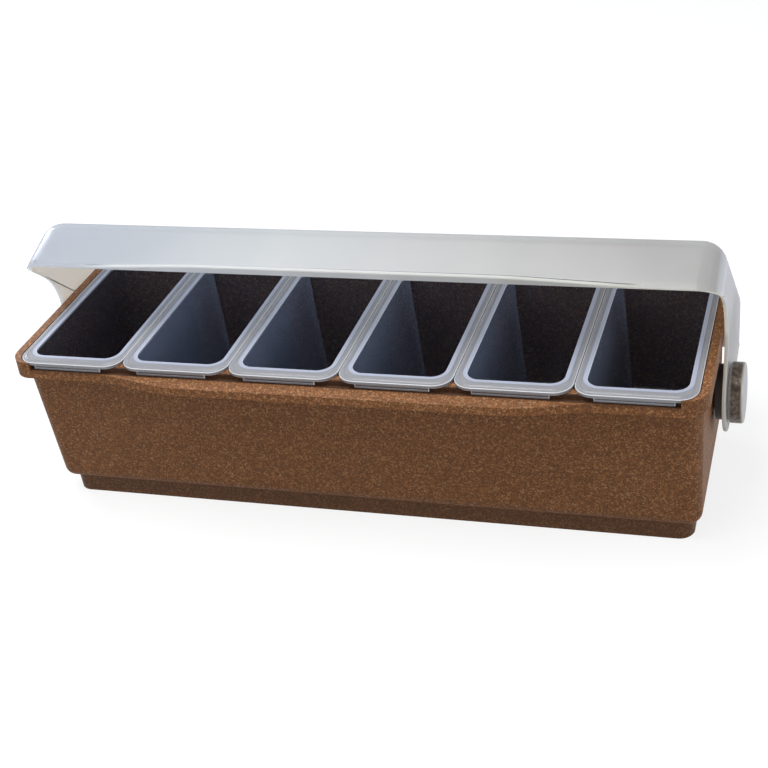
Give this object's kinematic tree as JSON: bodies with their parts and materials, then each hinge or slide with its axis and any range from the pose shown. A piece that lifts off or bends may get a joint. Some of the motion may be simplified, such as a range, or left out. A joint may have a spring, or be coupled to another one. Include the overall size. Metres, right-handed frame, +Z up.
{
  "type": "condiment caddy",
  "caption": "Bar-top condiment caddy: a long tray that holds lift-out inserts in a row under one clear hood, which tilts open on end knobs.",
  "frame": {"origin": "centre of the tray's underside, on the table", "axes": "+X along the row of inserts, +Y towards the back, +Z up"},
  "size_m": [0.4954, 0.1875, 0.1785],
  "materials": {
    "tray_plastic": "moulded, fine speckle, matte",
    "hood_plastic": "frosted translucent, softly glossy",
    "insert_plastic": "translucent, satin",
    "ring_plastic": "matte",
    "brass": "machined",
    "stud_steel": "turned",
    "washer_plastic": "matte",
    "knob_metal": "satin",
    "cap_metal": "fine satin"
  },
  "bodies": {
    "tray": {"tray": "tray_plastic", "bearing_ring_left": "ring_plastic", "bearing_ring_right": "ring_plastic", "thread_insert_left": "brass", "thread_insert_right": "brass"},
    "hood": {"hood": "hood_plastic"},
    "insert_1": {"insert_1": "insert_plastic"},
    "insert_2": {"insert_2": "insert_plastic"},
    "insert_3": {"insert_3": "insert_plastic"},
    "insert_4": {"insert_4": "insert_plastic"},
    "insert_5": {"insert_5": "insert_plastic"},
    "insert_6": {"insert_6": "insert_plastic"},
    "knob_left": {"knob_left": "knob_metal", "knob_cap_left": "cap_metal", "pivot_stud_left": "stud_steel", "washer_left": "washer_plastic"},
    "knob_right": {"knob_right": "knob_metal", "knob_cap_right": "cap_metal", "pivot_stud_right": "stud_steel", "washer_right": "washer_plastic"}
  },
  "joints": [
    {"name": "hood_hinge", "type": "hinge", "parent": "tray", "child": "hood", "pos_m": [0, 0.009, 0.069], "axis": [-1, 0, 0], "range_deg": [-44.4, 0]},
    {"name": "insert_1_tilt", "type": "hinge", "parent": "tray", "child": "insert_1", "pos_m": [-0.19, 0.0685, 0.1158], "axis": [-1, 0, 0], "range_deg": [0, 2.6]},
    {"name": "insert_2_tilt", "type": "hinge", "parent": "tray", "child": "insert_2", "pos_m": [-0.114, 0.0685, 0.1158], "axis": [-1, 0, 0], "range_deg": [0, 2.6]},
    {"name": "insert_3_tilt", "type": "hinge", "parent": "tray", "child": "insert_3", "pos_m": [-0.038, 0.0685, 0.1158], "axis": [-1, 0, 0], "range_deg": [0, 2.6]},
    {"name": "insert_4_tilt", "type": "hinge", "parent": "tray", "child": "insert_4", "pos_m": [0.038, 0.0685, 0.1158], "axis": [-1, 0, 0], "range_deg": [0, 2.6]},
    {"name": "insert_5_tilt", "type": "hinge", "parent": "tray", "child": "insert_5", "pos_m": [0.114, 0.0685, 0.1158], "axis": [-1, 0, 0], "range_deg": [0, 2.6]},
    {"name": "insert_6_tilt", "type": "hinge", "parent": "tray", "child": "insert_6", "pos_m": [0.19, 0.0685, 0.1158], "axis": [-1, 0, 0], "range_deg": [0, 2.6]},
    {"name": "knob_left_turn", "type": "hinge", "parent": "tray", "child": "knob_left", "pos_m": [-0.243, 0.009, 0.069], "axis": [-1, 0, 0], "range_deg": [0, 180]},
    {"name": "knob_right_turn", "type": "hinge", "parent": "tray", "child": "knob_right", "pos_m": [0.243, 0.009, 0.069], "axis": [1, 0, 0], "range_deg": [0, 180]}
  ]
}
